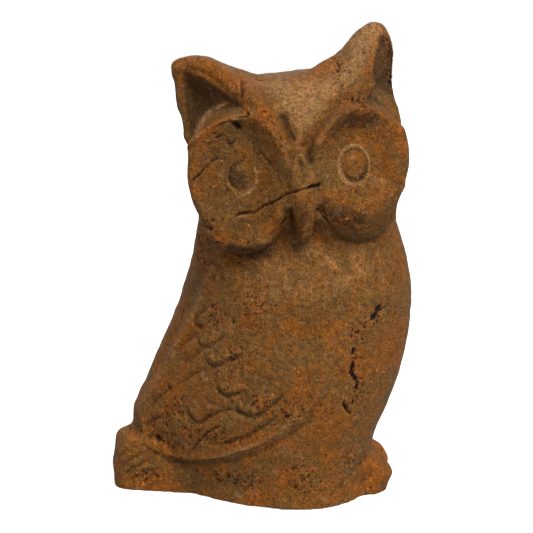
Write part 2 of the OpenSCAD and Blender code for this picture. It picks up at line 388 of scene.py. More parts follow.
RIGHT_RIM = [
    (-30, 30), (-42, 26), (-51, 20), (-58, 11), (-61, 1), (-61, -10), (-59, -20), (-54, -30), (-47, -39),
    (-38, -44), (-28, -44), (-19, -40), (-12, -32), (-8, -22), (-6, -10), (-7, 2), (-10, 14), (-18, 25)
]
LEFT_RIM = [
    (8, 4), (14, 15), (24, 24), (37, 27), (49, 22), (56, 12), (59, 1), (58, -10), (54, -21), (48, -30),
    (38, -36), (26, -38), (15, -35), (9, -27), (6, -15), (5, -4)
]
# Eyes: the pellet's place and half sizes, its depth, how it leans into the socket, its lip, the painted
# shade in the socket, and the direction of the socket's shaded side
RIGHT_EYE = {
    "place": (-32.7, -8.8), "size": (7.2, 8.4), "deep": 2.6, "drop": 0.7, "lip": 0.25, "socket_shade": 0.25,
    "shade": (-1.0, 0.2)
}
LEFT_EYE = {
    "place": (29.9, -7.5), "size": (7.2, 9.2), "deep": 2.2, "drop": 0.3, "lip": 0.4, "socket_shade": 0.05,
    "shade": (0.4, -1.0)
}
RIGHT_BROW_LOW = [(-63, 53), (-54, 51), (-46, 47), (-40.5, 42), (-35, 36), (-29, 33)]
RIGHT_RIDGE = [(-24, 42), (-21, 32), (-15.5, 22), (-11, 15), (-8, 6.5), (-6, -2), (-6, -10)]
LEFT_BROW = [(51, 62), (45, 53), (41, 45), (37, 36.5), (30, 28.5), (23, 22), (16, 15), (10, 8), (5, 2.5)]
GOUGE = [(-10, 24.5), (-7, 20.5), (-5, 14), (-4, 9), (-6, 5)]
MAIN_CRACK = [
    (-40, -30.5), (-33, -28.5), (-28, -28.7), (-23, -26), (-18, -24), (-12, -21), (-8, -19), (-1, -17),
    (4, -16), (9, -16), (13, -15)
]
RIM_CRACK = [(-58, 7), (-51, 17), (-41, 21), (-36, 22), (-32, 18), (-28, 14)]
FACE_CRACKS = [
    ([(-42, 1.5), (-46, 2), (-51, -1), (-55, -5), (-62, -11)], 0.75),
    ([(-33, 12.5), (-37.5, 9), (-40.5, 6)], 0.5), ([(-28.5, 43), (-28.5, 38), (-31, 34)], 0.5)
]
RIGHT_EAR_HOLLOW = [(-62, 51), (-52, 48), (-40, 40), (-32, 32), (-44, 29), (-53, 22), (-60, 12), (-63, 30)]
FOREHEAD = [(-20, 44), (-14, 28), (-6, 12), (0, 5), (8, 10), (20, 23), (33, 36), (40, 52), (10, 44)]
LEFT_EAR_DARK = [(50, 62), (46, 52), (43, 41), (45, 34), (51, 28), (58, 26), (62, 37), (61, 50), (56, 61)]
CROWN = [(-36, 50), (-14, 44), (4, 43), (24, 46), (40, 58)]
# Steps that are smoothed away: place, half width and height, where that starts and is full, and passes
FACE_SMOOTHED = [
    ((-12, -40), 7, 15, 0.1, 0.5, 80), ((11, -36), 5, 9, 0.2, 0.6, 50), ((34, -48), 26, 11, 0.1, 0.5, 200),
    ((50, -37), 11, 9, 0.1, 0.5, 120), ((-36, -54), 24, 6, 0.1, 0.5, 30)
]

# Ridges and grooves: how far each stands out in mm, its line, its width, and its faded ends if not 0.1
FACE_RELIEF = [
    (2.4, RIGHT_RIDGE, 4.2), (1.6, LEFT_BROW, 3.2), (-2.8, GOUGE, 3.4, 0.25),
    (2.2, [(0, 4), (3.4, -2.4), (6, -9), (8, -16)], 1.8), (1.9, [(-1, 3), (-4.2, -7), (-6.5, -15)], 1.7),
    (-1.2, [(1, -1), (0.5, -8), (0, -15)], 1.6, 0.2), (-1.2, RIGHT_BROW_LOW, 1.6),
    (-1.5, [(-28, 44.5), (-27.5, 36)], 1.2, 0.2)
]
FACE_BUMPS = [(3.5, (-13, -33), 5, 10), (-2.0, (6, -2.6), 1.8, 2.4)]

# Marks of paint and torn clay: strength, then a line as above, or a place with half width and height
ORANGE_LINES = [
    (0.55, RIGHT_RIDGE[1:], 3.5), (0.5, LEFT_BROW[:4], 4.5), (0.45, LEFT_BROW[3:], 5),
    (0.6, [(54, 14), (57, 0), (55, -14)], 4), (0.6, [(42, 5), (47, -4), (46, -12)], 4),
    (0.6, [(-54, 14), (-45, 16), (-36, 14)], 6), (0.9, [(-57, 8), (-51, 17), (-42, 22), (-34, 24)], 2),
    # The first mark here, under the right eye, is orange clay and a painted highlight on the socket's lower
    # rim
    (0.6, [(-38, -20), (-32, -22)], 4, 0), (0.6, [(8, -16), (5, -27)], 3, 0),
    (0.5, [(-50, -36), (-40, -46), (-24, -50)], 5)
]
ORANGE_SPOTS = [(0.9, (9, 12), 3, 5), (0.6, (24, -28), 4, 2.5), (0.6, (31, -3), 3, 4)]
ORANGE_BODY_SPOTS = [(0.7, (41, 81), 3, 2.5), (0.6, (52, 148), 4, 4), (0.6, (80, 20), 9, 11)]
# Dark marks: those under both discs, along the beak's left flank and under the left brow are painted shade
DARK_LINES = [
    (0.8, [(14, 9), (24, 16), (36, 17), (46, 12)], 8, 0.15), (0.7, GOUGE, 3.2),
    (0.9, [(10, -28), (20, -34), (36, -37)], 5), (1.2, [(-46, -47), (-32, -52), (-18, -51)], 5),
    (0.5, [(6, -46), (22, -50), (36, -47), (48, -41)], 7), (0.8, [(-9, -24), (-8, -34), (-6, -46)], 4),
    (0.5, [(9, -45), (24, -47), (38, -45), (50, -36)], 4)
]
# Dark spots: those in the right dish under the brow, between the beak and the right disc, and under the
# beak's tip are painted shade
DARK_SPOTS = [
    (0.55, (-24, 10), 9, 9), (0.9, (-58, 23), 4, 8), (0.7, (-11, -40), 5, 12), (0.8, (-34, -8), 5.5, 7),
    (0.4, (-50, -16), 4, 5), (0.7, (12, -27), 6, 6), (0.8, (20, -31), 10, 5), (0.8, (-4, -49), 7, 6),
    (0.7, (0, -36), 6, 12)
]
# Pale lines: the first is paler clay and a painted highlight along the left brow
PALE_LINES = [
    (0.8, [(30, 42), (40, 56), (47, 66)], 9, 0), (0.9, [(-58, 14), (-51, 24), (-37, 31)], 3),
    (0.4, [(2, 0), (6, -12)], 2)
]
ROUGH_LINES = [
    (0.8, [(30, 52), (26, 36), (34, 26), (44, 24)], 6), (0.9, [(56, 62), (54, 44), (60, 24)], 4),
    (0.8, [(-57, -28), (-52, -38), (-44, -50), (-28, -50)], 5),
    (0.7, [(8, -29), (14, -34), (22, -37), (34, -38)], 3), (0.6, RIGHT_RIDGE[1:5], 4)
]
ROUGH_SPOTS = [(0.8, (-46, 12), 10, 7), (0.7, (-29, 38), 5, 7), (0.8, (-1, -40), 4, 8)]

# ---------- outlines of the wing and the tail, in mm along the flank: x and height ----------

WING_BACK = [
    (-16, 147), (-27, 128), (-30, 119), (-38, 104), (-46, 87), (-54, 73), (-61, 60), (-66, 50), (-65, 38),
    (-63, 30)
]
WING_EDGE = [
    (-63, 30), (-56, 26), (-49, 24), (-39, 24), (-30, 25.5), (-18, 29), (-9, 33), (6, 40), (22, 52),
    (31, 59.5), (39, 72), (45, 84)
]
WING = WING_BACK + WING_EDGE[1:] + [(44, 96), (34, 108), (18, 122), (2, 136)]
COVERTS = [
    [(-20, 121), (-29, 112), (-32, 107), (-29, 105), (-23, 107)],
    [(-32, 101), (-30, 97), (-27, 94), (-22, 96), (-13, 104)],
    [(-27, 92), (-26, 88), (-22, 84), (-16, 86), (-6, 94)],
    [(-20, 78), (-19, 72), (-14, 68), (-7, 70), (0, 74)],
    [(-9.5, 66), (-8, 61), (-2, 57), (5, 58), (14, 66), (22, 74)],
    [(-37, 59), (-35, 53), (-29.5, 49), (-23.5, 56), (-20, 65)]
]
FEATHER_GROOVES = [
    [(-46, 85), (-39, 93), (-30, 102)], [(-41, 81), (-34, 87), (-27, 93)],
    [(-46, 67.5), (-33, 77), (-22, 84)], [(-63, 49), (-55, 59), (-44, 69)],
    [(-65, 39), (-54, 48), (-43, 54)], [(-64, 33), (-58, 34), (-52, 33)],
    [(-29.5, 49), (-23.5, 53.5), (-15, 59), (-8, 59), (0, 54)],
    [(-26, 43), (-23, 38), (-15, 38.5), (-3, 44), (6, 50), (19.5, 61)]
]
TAIL_GROOVES = [
    [(-82, 20), (-73, 27), (-63, 30)], [(-82, 12), (-74, 19), (-65, 25)], [(-80, 8), (-70, 15), (-61, 20)],
    [(-77, 4), (-67, 10), (-53, 17)]
]
CHEST_CRACK = [
    (73, 124), (73, 119), (72, 115), (67, 110), (60, 104), (59, 97), (59, 88), (58, 81), (61, 75), (61, 67),
    (58, 61)
]
SCRATCHES = [
    ([(-36, 29), (-27, 42), (-18, 49.5)], 0.6), ([(1, 22), (0, 14), (2, 9)], 0.35),
    ([(27, 26), (30, 17), (29, 11)], 0.35), ([(33, 22), (35, 15)], 0.3), ([(58, 32), (55, 24)], 0.3),
    ([(14, 38), (17, 31), (16, 24)], 0.25), ([(40, 40), (38, 30)], 0.2)
]
NECK_FOLD = [(-20, 145), (-16, 138), (-13, 132)]
FOOT_LEDGE = [(72, 33), (70, 27.5), (66, 22), (58, 16), (51, 10), (43, 6)]
FLANK_RELIEF = [
    (1.3, WING_EDGE, 3.0, 0.12), (-0.7, [(x + 2, z - 4) for x, z in WING_EDGE], 2.2, 0.12),
    (1.4, WING_BACK, 2.4), (-0.8, [(x - 4, z + 1) for x, z in WING_BACK[:8]], 2.4),
    (-1.2, NECK_FOLD, 1.6, 0.2), (1.0, [(-16, 147), (-14, 139), (-12, 131)], 2.0, 0.2),
    (-0.8, FOOT_LEDGE, 1.4, 0.15)
]
FLANK_RELIEF += [(-1.3, groove, 1.5, 0.25) for groove in FEATHER_GROOVES]
FLANK_RELIEF += [(-1.1, groove, 1.4, 0.3) for groove in TAIL_GROOVES]
BODY_ROUGH_SPOTS = [
    ((-52, 36), 9, 8), ((-46, 55), 8, 10), ((-8, 92), 9, 9), ((-22, 112), 5, 8), ((2, 68), 16, 7),
    ((-22, 42), 22, 5), ((22, 60), 14, 10), ((30, 20), 8, 12), ((58, 26), 7, 9), ((-8, 16), 16, 7),
    ((-66, 12), 12, 5), ((5, 122), 12, 7), ((-28, 150), 6, 14), ((-3, 152), 12, 7)
]


# Where the outline swells or draws in: x and height of a place, its push along x and up, and reach, in mm
PULLS = [
    ((-43, 236), (-1.8, 0), 16), ((-36, 215), (-1.2, 0), 14), ((-34, 207), (-2.2, 0), 6),
    ((-25, 261), (0, 2.2), 10), ((-40, 261), (1.6, -1.2), 5), ((10, 262), (0, 0.9), 30),
    ((46, 264), (0, -2.4), 12), ((78, 265), (1.8, 0), 12), ((84, 226), (2.6, 0), 12),
    ((82, 222), (1.2, 0), 8), ((87, 192), (-2.4, 0), 10), ((84, 178), (-2.6, 0), 8),
    ((-33, 200), (-1.0, 0), 18), ((88, 125), (1.5, 0), 36), ((75, 69), (0.6, 0), 18),
    ((82, 158), (0.9, 0), 12), ((-33, 162), (-0.8, 0), 18), ((-47, 108), (0.6, 0), 14),
    ((-67, 54), (-1.0, 0.8), 8), ((-76, 36), (-4.2, 0), 12), ((-79, 30), (-1.8, 0), 8),
    ((34, 258), (0, 1.7), 12), ((-17, 260), (0, 1.5), 12), ((58, 274), (-1.2, 1), 9),
    ((-35, 211), (-1.2, 0), 4), ((84, 222), (1.4, 0), 7), ((72, 47), (-0.8, -1.6), 6),
    ((-80, 43), (3.0, -1.0), 5), ((-82, 31), (3.1, 0), 5), ((-83, 12), (-1.9, 0), 7),
    ((82, 11), (2.8, 0), 5), ((80, 2), (-3.0, 0), 5), ((80, 262), (1.2, 0), 10),
    ((70, 279), (-1.4, -0.4), 5), ((-42, 252), (-1.3, 0), 6)
]
LEFT_GAP = -34.8                        # x of the outline between the right ear and the right disc, mm
PITS = 1500                             # how many small holes there are
# Grain of the surface: how high it stands and how wide it is, in mm, and its seed
LUMPS = [(0.35, 22, 1), (0.28, 9, 2), (0.18, 4.5, 3), (0.12, 2.4, 4)]
TORN = [(0.3, 3.2, 7), (0.25, 1.8, 8)]
# Clay beside the beak: place on the face, half its width and height, and how far forward its top lies, in mm
CHIN_FILLS = [((9, -37), 8, 12, -58), ((-9, -37), 7, 12, -57)]
# Where one form runs into the next without a step: x and height of a place, and its reach, in mm
MERGED = [
    ((-34, 209), 14), ((84, 177), 11), ((76, 170), 12), ((-39, 222), 8), ((83, 222), 9), ((-60, 76), 17),
    ((-52, 96), 15), ((-65, 60), 12)
]


# ---------- sculpting ----------

def flatten(skin, mask, passes):
    """Smooths away what the mask covers."""
    skin.points = skin.blur(skin.points, passes, mask)


def away_from(skin, place, reach):
    """How far each vertex lies from a place seen from the front, as a share of reach."""
    return np.hypot(skin.points[:, 0] - place[0], skin.points[:, 2] - place[1]) / reach


def pull_outline(skin):
    for place, push, reach in PULLS:
        share = np.exp(-away_from(skin, place, reach) ** 2)
        skin.points[:, 0] += share * push[0]
        skin.points[:, 2] += share * push[1]
    for place, reach in MERGED:
        flatten(skin, smoothstep(1, 0.5, away_from(skin, place, reach)), 60)
    x, y, z = skin.points.T
    gap = np.exp(-((z - 210) / 8) ** 2) * smoothstep(-15, -22, x) * smoothstep(0, -12, y)
    skin.points[:, 0] += gap * np.minimum(LEFT_GAP - x, 0)


def front(skin, sheet):
    """1 on the front of the face, without holes where small shapes turn away from the front."""
    return smoothstep(0.3, 0.6, skin.blur(sheet.facing, 20))


def shape_dish(skin, rim, lean, face):
    """Turns the inside of a facial disc into a shallow dish, deepest where lean points."""
    sheet = face_sheet(skin)
    sheet.facing = face
    depth_in = sheet.inside(rim)
    level = -61 + 0.0033 * sheet.u ** 2 + 0.0006 * (sheet.v + 10) ** 2
    middle = np.mean(rim, axis=0)
    slope = ((sheet.u - middle[0]) * lean[0] + (sheet.v - middle[1]) * lean[1]) / 25
    dish = level + (5.0 + 3.0 * np.clip(slope, -1, 1)) * smoothstep(1.5, 17, depth_in)
    share = smoothstep(-1, 5, depth_in) * face
    skin.points[:, 1] += share * (dish - skin.points[:, 1])
    flatten(skin, smoothstep(-5, 1, depth_in) * face, 10)


def eye_frame(sheet, eye):
    """Place across and up the eye, from -1 to 1 on its pellet."""
    across = (sheet.u - eye["place"][0]) / eye["size"][0]
    up = (sheet.v - eye["place"][1]) / eye["size"][1]
    return across, up, np.hypot(across, up)


def press_eye(skin, eye, face):
    """An oval pellet in its socket, with a thin lip round it; drop leans the pellet into the socket."""
    across, up, out = eye_frame(face_sheet(skin), eye)
    dome = (eye["deep"] + 1) * np.sqrt(np.clip(1 - (out / 0.98) ** 2, 0, 1))
    lip = eye["lip"] * np.exp(-((out - 1.14) / 0.13) ** 2)
    socket = (eye["deep"] - eye["drop"] * (across + up)) * smoothstep(1.12, 0.86, out)
    skin.points[:, 1] += (socket - dome - lip) * face


def slope_chin(skin):
    """Cuts the underside of the left disc to a slope that runs in to the chest."""
    sheet = face_sheet(skin)
    out = np.clip(-sheet.inside(LEFT_RIM), 0, 13 + 0.4 * np.maximum(sheet.u - 24, 0))
    slope = -59.5 + 0.0033 * sheet.u ** 2 + out
    share = smoothstep(-24, -32, sheet.v) * smoothstep(-58, -54, sheet.v) * smoothstep(8, 14, sheet.u)
    share *= smoothstep(58, 50, sheet.u) * (skin.points[:, 1] < 0)
    skin.points[:, 1] += share * np.maximum(slope - skin.points[:, 1], 0)
    flatten(skin, share, 15)


def smooth_face(skin, sheet):
    """Takes the steps between the CAD pieces out of the face before its forms are shaped."""
    inside = strongest(sheet.inside(RIGHT_RIM), sheet.inside(LEFT_RIM))
    beak = smoothstep(13, 8, np.abs(sheet.u - 0.5)) * smoothstep(4, -2, sheet.v)
    flatten(skin, smoothstep(2, 6, inside) * (1 - beak) * sheet.facing, 60)
    flatten(skin, smoothstep(-3, 3, sheet.inside(FOREHEAD)), 60)
    top = Sheet(sheet.u, sheet.v, smoothstep(-10, -25, skin.points[:, 1]))
    flatten(skin, smoothstep(0.1, 0.5, top.line(CROWN, 10, 0)), 90)
    for place, width, height, low, high, passes in FACE_SMOOTHED:
        flatten(skin, smoothstep(low, high, sheet.spot(place, width, height)), passes)


def fill_chin(skin):
    """Fills the holes on both sides of the beak with clay."""
    sheet = face_sheet(skin)
    sheet.facing = smoothstep(0, -8, skin.points[:, 1])
    for place, width, height, level in CHIN_FILLS:
        share = smoothstep(0.1, 0.45, sheet.spot(place, width, height))
        ramp = level + np.clip(-35 - sheet.v, 0, 12)
        skin.points[:, 1] += share * np.minimum(ramp - skin.points[:, 1], 0)
        flatten(skin, share, 15)


def sculpt_face(skin):
    sheet = face_sheet(skin)
    face = front(skin, sheet)
    sheet.facing = face
    smooth_face(skin, sheet)
    shape_dish(skin, RIGHT_RIM, (0.8, 0.6), face)
    shape_dish(skin, LEFT_RIM, (-0.7, 0.7), face)
    fill_chin(skin)
    slope_chin(skin)
    press_eye(skin, RIGHT_EYE, face)
    press_eye(skin, LEFT_EYE, face)
    sheet = face_sheet(skin)
    sheet.facing = face
    push = sum(drawn(sheet, FACE_RELIEF)) + sum(dabbed(sheet, FACE_BUMPS))
    push -= 3.5 * smoothstep(0, 9, sheet.inside(RIGHT_EAR_HOLLOW)) * face
    push -= 3.5 * smoothstep(0, 5, sheet.inside(LEFT_EAR_DARK)) * face
    skin.points[:, 1] -= push


def soften_foot(skin):
    """Runs the tail, the body and the slab into each other."""
    x, _, z = skin.points.T
    flatten(skin, smoothstep(-56, -62, x) * smoothstep(44, 38, z) * smoothstep(3, 8, z), 60)
    flatten(skin, smoothstep(7, 2, np.abs(z - 9)), 25)


def sculpt_flank(skin, side):
    """Raises the wing and draws its feathers and the grooves of the tail."""
    sheet = flank_sheet(skin, side)
    front_fade = smoothstep(48, 10, skin.points[:, 0] + 0.3 * (skin.points[:, 2] - 80))
    rise = 1.5 * smoothstep(-1.2, 1.5, sheet.inside(WING)) * front_fade * sheet.facing
    for lobe in COVERTS:
        middle = (np.array(lobe[0]) + lobe[-1]) / 2
        inner = np.array(lobe) + 0.42 * (middle - lobe)
        rise += sum(drawn(sheet, [(-1.3, lobe, 1.4, 0.25), (1.4, inner, 3.4, 0.25)]))
    rise += sum(drawn(sheet, FLANK_RELIEF))
    body = smoothstep(168, 150, skin.points[:, 2])
    skin.points += (rise * body)[:, None] * skin.normals()


def sculpt_cracks(skin, masks):
    """The cracks across the face and round the right disc, and scratches on the near flank."""
    sheet = face_sheet(skin)
    flank = flank_sheet(skin, -1)
    sheet.v = sheet.v + 0.5 * noise(skin.points, 2.0, 5)
    deep = strongest(
        sheet.line(MAIN_CRACK, 0.75, 0.06) * (0.8 + 0.3 * noise(skin.points, 5, 6)),
        *[depth * sheet.line(crack, 0.7, 0.15) for crack, depth in FACE_CRACKS],
        0.35 * sheet.line([(-23, 6), (-19, 1), (-15, -5)], 0.8, 0.2),
        0.5 * sheet.line(RIM_CRACK[1:], 0.8, 0.4),
        sheet.line([(-35.5, 21.5), (-32.5, 19), (-31, 16)], 1.8, 0.3),
        *[depth * flank.line(scratch, 0.7) for scratch, depth in SCRATCHES])
    masks["crack"] = strongest(masks["crack"], deep)
    ledge = sheet.step(RIM_CRACK, 5.0, 0.4)
    skin.points += (0.5 * ledge - 2.2 * deep)[:, None] * skin.normals()


def sculpt_grain(skin, rough):
    """Lumps left by the hands, and torn clay where it is rough."""
    p = skin.points
    lumps = sum(share * noise(p, size, seed) for share, size, seed in LUMPS)
    torn = sum(share * noise(p, size, seed) for share, size, seed in TORN)
    skin.points = p + (lumps + rough * torn)[:, None] * skin.normals()


def rough_zones(skin):
    """Where the clay is pitted and torn."""
    near = flank_sheet(skin, -1)
    far = flank_sheet(skin, 1)
    face = face_sheet(skin)
    marks = [np.full(len(skin.points), 0.04), 1.2 * near.line(CHEST_CRACK, 4)]
    for (x, z), width, height in BODY_ROUGH_SPOTS:
        marks += [near.spot((x, z), width, height), 0.6 * far.spot((x + 9, z + 6), width, height)]
    marks += drawn(face, ROUGH_LINES) + dabbed(face, ROUGH_SPOTS)
    return np.clip(strongest(*marks), 0, 1)


def dig_pits(skin, masks):
    """Small holes where grit fell out, each with a dark bottom and some with a fresh orange edge."""
    rng = np.random.default_rng(11)
    weight = masks["rough"] ** 1.5
    middles = rng.choice(len(weight), PITS, p=weight / weight.sum())
    search = KDTree(len(skin.points))
    for k, p in enumerate(skin.points):
        search.insert(p, k)
    search.balance()
    normal = skin.normals()
    depth = np.zeros(len(skin.points))
    for middle in middles:
        size = 0.5 + 1.1 * rng.random() ** 4
        lean = rng.normal(size=3)
        lean /= np.linalg.norm(lean)
        long = 1 + 1.6 * rng.random()
        flake = rng.random() < 0.35
        for _, k, _ in search.find_range(skin.points[middle], 3.2 * size * long):
            away = skin.points[k] - skin.points[middle]
            along = away @ lean
            gap = math.sqrt(max(away @ away - along ** 2, 0) + (along / long) ** 2) / size
            depth[k] = max(depth[k], 0.75 * size * math.exp(-gap ** 2))
            masks["crack"][k] = max(masks["crack"][k], 0.75 * math.exp(-(gap / 0.85) ** 2))
            if flake:
                masks["orange"][k] = max(masks["orange"][k], 0.75 * math.exp(-((gap - 1.3) / 0.5) ** 2))
    skin.points = skin.points - depth[:, None] * normal


def dig_chest_crack(skin, masks):
    """A broken line of holes down the chest."""
    near = flank_sheet(skin, -1)
    near.u = near.u + 1.4 * noise(skin.points, 4, 21) + 0.8 * noise(skin.points, 2, 23)
    gaps = smoothstep(-0.2, 0.3, noise(skin.points, 4.5, 22))
    deep = near.line(CHEST_CRACK, 1.1, 0.04) * gaps
    deep = np.maximum(deep, 0.9 * near.line([(54, 65), (55, 61), (57, 56)], 0.8))
    masks["crack"] = np.maximum(masks["crack"], deep)
    skin.points = skin.points - (2.0 * deep)[:, None] * skin.normals()


def paint_eye(face, eye, ring, masks):
    """A pale ring on the lip, a painted highlight on the top of the pellet and painted shade in the socket
    on its shaded side; returns the lit side, which its hollow must not darken.
    """
    across, up, out = eye_frame(face, eye)
    shaded_side = smoothstep(-0.3, 0.9, eye["shade"][0] * across + eye["shade"][1] * up)
    # the pale ring on the lip, and a painted highlight on the top of the pellet
    masks["pale"] = strongest(
        masks["pale"], 1.2 * ring(across, up) * np.exp(-((out - 1.17) / 0.12) ** 2) * face.facing,
        0.6 * np.exp(-np.hypot(across + 0.1, up - 0.5) ** 2 / 0.2) * face.facing)
    # painted shade inside the socket, strongest on its shaded side
    socket_shade = (eye["socket_shade"] + 0.9 * shaded_side) * np.exp(-((out - 0.86) / 0.2) ** 2) * face.facing
    masks["dark"] = strongest(masks["dark"], socket_shade)
    return (1 - shaded_side) * np.exp(-((out - 0.95) / 0.25) ** 2)


def paint(skin, masks):
    """Masks of fresh orange clay, of dark dirt with painted shade, and of pale rubbed clay with painted
    light.
    """
    normal = skin.normals()
    face = face_sheet(skin)
    near = flank_sheet(skin, -1)
    far = flank_sheet(skin, 1)
    height = skin.points[:, 2]
    ear = smoothstep(-1, 3, face.inside(RIGHT_EAR_HOLLOW))
    masks["orange"] = strongest(
        masks["orange"], *drawn(face, ORANGE_LINES), *dabbed(face, ORANGE_SPOTS),
        *dabbed(near, ORANGE_BODY_SPOTS), *dabbed(far, ORANGE_BODY_SPOTS[2:]),
        0.45 * smoothstep(9, 1, height), 0.35 * near.line(WING_BACK[5:], 4))
    # Dark: dirt and darker patches, with painted shade from the drawn marks, in the ear hollows (where the
    # clay is also dark) and on undersides
    masks["dark"] = strongest(
        *drawn(face, DARK_LINES), *dabbed(face, DARK_SPOTS), 0.95 * ear * face.facing,
        1.3 * smoothstep(-1, 4, face.inside(LEFT_EAR_DARK)), 0.46 * smoothstep(0, 8, face.inside(RIGHT_RIM)),
        0.12 * smoothstep(0, 8, face.inside(LEFT_RIM)), 0.3 * near.spot((-30, 70), 36, 44),
        # painted shade on surfaces that face down
        0.6 * smoothstep(-0.15, -0.75, normal[:, 2]) * (height > 3))
    # Pale: rubbed clay, with painted light on the upper chest and neck, a painted highlight on the wing's
    # back ridge, and paler clay with painted light on the wing's lower rim and on the forehead
    masks["pale"] = strongest(
        *drawn(face, PALE_LINES), 0.5 * near.line(WING_EDGE[2:], 4.0, 0.35),
        0.45 * near.line(WING_BACK, 2.5), 0.5 * face.spot((36, -18), 18, 12),
        0.5 * near.spot((30, 140), 60, 26), 0.25 * near.spot((45, 148), 16, 6),
        0.85 * smoothstep(-6, 12, face.inside(FOREHEAD)))
    # Where the painted shade of hollows is damped: the chin, the right ear's notch and hollow, and the lit
    # sides of the eyes
    soft = strongest(
        face.spot((14, -42), 36, 14), face.spot((-57, 10), 9, 12), 0.7 * ear,
        # the right eye's ring is pale only on its lit side, as a painted highlight; the left eye's is pale
        # nearly all round
        paint_eye(face, RIGHT_EYE, lambda a, b: smoothstep(0.2, 0.9, a - 0.6 * b), masks),
        paint_eye(face, LEFT_EYE, lambda a, b: 1.2 - 0.4 * smoothstep(0, 0.8, a - b), masks))
    # How far the skin bends in, at a small and a broad scale; the clay lays painted shade where it bends in
    for name, passes, scale in (("hollow", 5, 0.35), ("valley", 40, 1.6)):
        bend = np.sum((skin.blur(skin.points, passes) - skin.points) * normal, axis=1)
        masks[name] = np.clip(bend / scale, -1, 1) * (1 - 0.85 * soft)


def sculpt(skin):
    """Carves the skin and returns its masks."""
    masks = {name: np.zeros(len(skin.points)) for name in ("crack", "orange")}
    soften_foot(skin)
    pull_outline(skin)
    sculpt_face(skin)
    sculpt_flank(skin, -1)
    sculpt_flank(skin, 1)
    skin.relax(2)
    masks["rough"] = rough_zones(skin)
    sculpt_grain(skin, masks["rough"])
    sculpt_cracks(skin, masks)
    dig_chest_crack(skin, masks)
    dig_pits(skin, masks)
    skin.points[:, 2] = np.maximum(skin.points[:, 2], 0)
    paint(skin, masks)
    return masks


# ---------- material ----------

def linear(red, green, blue):
    """A colour given as 0 to 255, for a shader socket."""
    return tuple((v / 255) ** 2.2 for v in (red, green, blue)) + (1.0,)


class Shader:
    """One material, with short ways to add its nodes."""

    def __init__(self, name):
        self.material = bpy.data.materials.new(name)
        self.material.use_nodes = True
        self.nodes = self.material.node_tree.nodes
        self.links = self.material.node_tree.links
        self.surface = self.nodes["Principled BSDF"]
        place = self.nodes.new("ShaderNodeTexCoord").outputs["Object"]
        self.place = self.vector("MULTIPLY", place, (1 / MM, 1 / MM, 1 / MM))
        self.colour = None

    def plug(self, socket, value):
        if isinstance(value, bpy.types.NodeSocket):
            self.links.new(value, socket)
        else:
            socket.default_value = value

    def compute(self, kind, operation, values):
        node = self.nodes.new(kind)
        node.operation = operation
        for socket, value in zip(node.inputs, values):
            self.plug(socket, value)
        return node.outputs[0]

    def vector(self, operation, *values):
        return self.compute("ShaderNodeVectorMath", operation, values)

    def math(self, operation, *values):
        return self.compute("ShaderNodeMath", operation, values)

    def mask(self, name):
        node = self.nodes.new("ShaderNodeAttribute")
        node.attribute_name = name
        return node.outputs["Fac"]

    def make(self, kind, inputs):
        """A node with values or links plugged into the inputs named."""
        node = self.nodes.new(kind)
        for name, value in inputs.items():
            self.plug(node.inputs[name], value)
        return node

    def noise(self, size, detail, rough, stretch=(1, 1, 1), warp=0.0):
        """Noise with grains of a size in mm, drawn out by stretch."""
        inputs = {"Vector": self.vector("DIVIDE", self.place, stretch), "Scale": 1 / size, "Detail": detail,
                  "Roughness": rough, "Distortion": warp}
        return self.make("ShaderNodeTexNoise", inputs).outputs["Fac"]

    def cells(self, size):
        """Distance from scattered points that are about a size in mm apart."""
        inputs = {"Vector": self.place, "Scale": 1 / size}
        return self.make("ShaderNodeTexVoronoi", inputs).outputs["Distance"]

    def ramp(self, value, low, high):
        """0 below low and 1 above high, softly between; the other way round when low is above high."""
        inputs = {"Value": value, "From Min": min(low, high), "From Max": max(low, high),
                  "To Min": float(low > high), "To Max": float(low < high)}
        node = self.make("ShaderNodeMapRange", inputs)
        node.interpolation_type = "SMOOTHSTEP"
        return node.outputs["Result"]

    def mix(self, share, a, b, kind="MIX"):
        node = self.nodes.new("ShaderNodeMix")
        node.data_type = "RGBA"
        node.blend_type = kind
        self.plug(node.inputs["Factor"], share)
        self.plug(node.inputs["A"], a)
        self.plug(node.inputs["B"], b)
        return node.outputs["Result"]

    def patchy(self, name, grain, broken):
        """A mask whose edge is broken up by noise."""
        uneven = self.math("MULTIPLY_ADD", grain, broken, -broken / 2)
        total = self.math("ADD", self.mask(name), uneven)
        return self.ramp(total, 0.2, 0.9)

    def tint(self, share, amount, paint):
        """Covers the colour so far with an amount of paint, where share says."""
        self.colour = self.mix(self.math("MULTIPLY", share, amount), self.colour, linear(*paint))


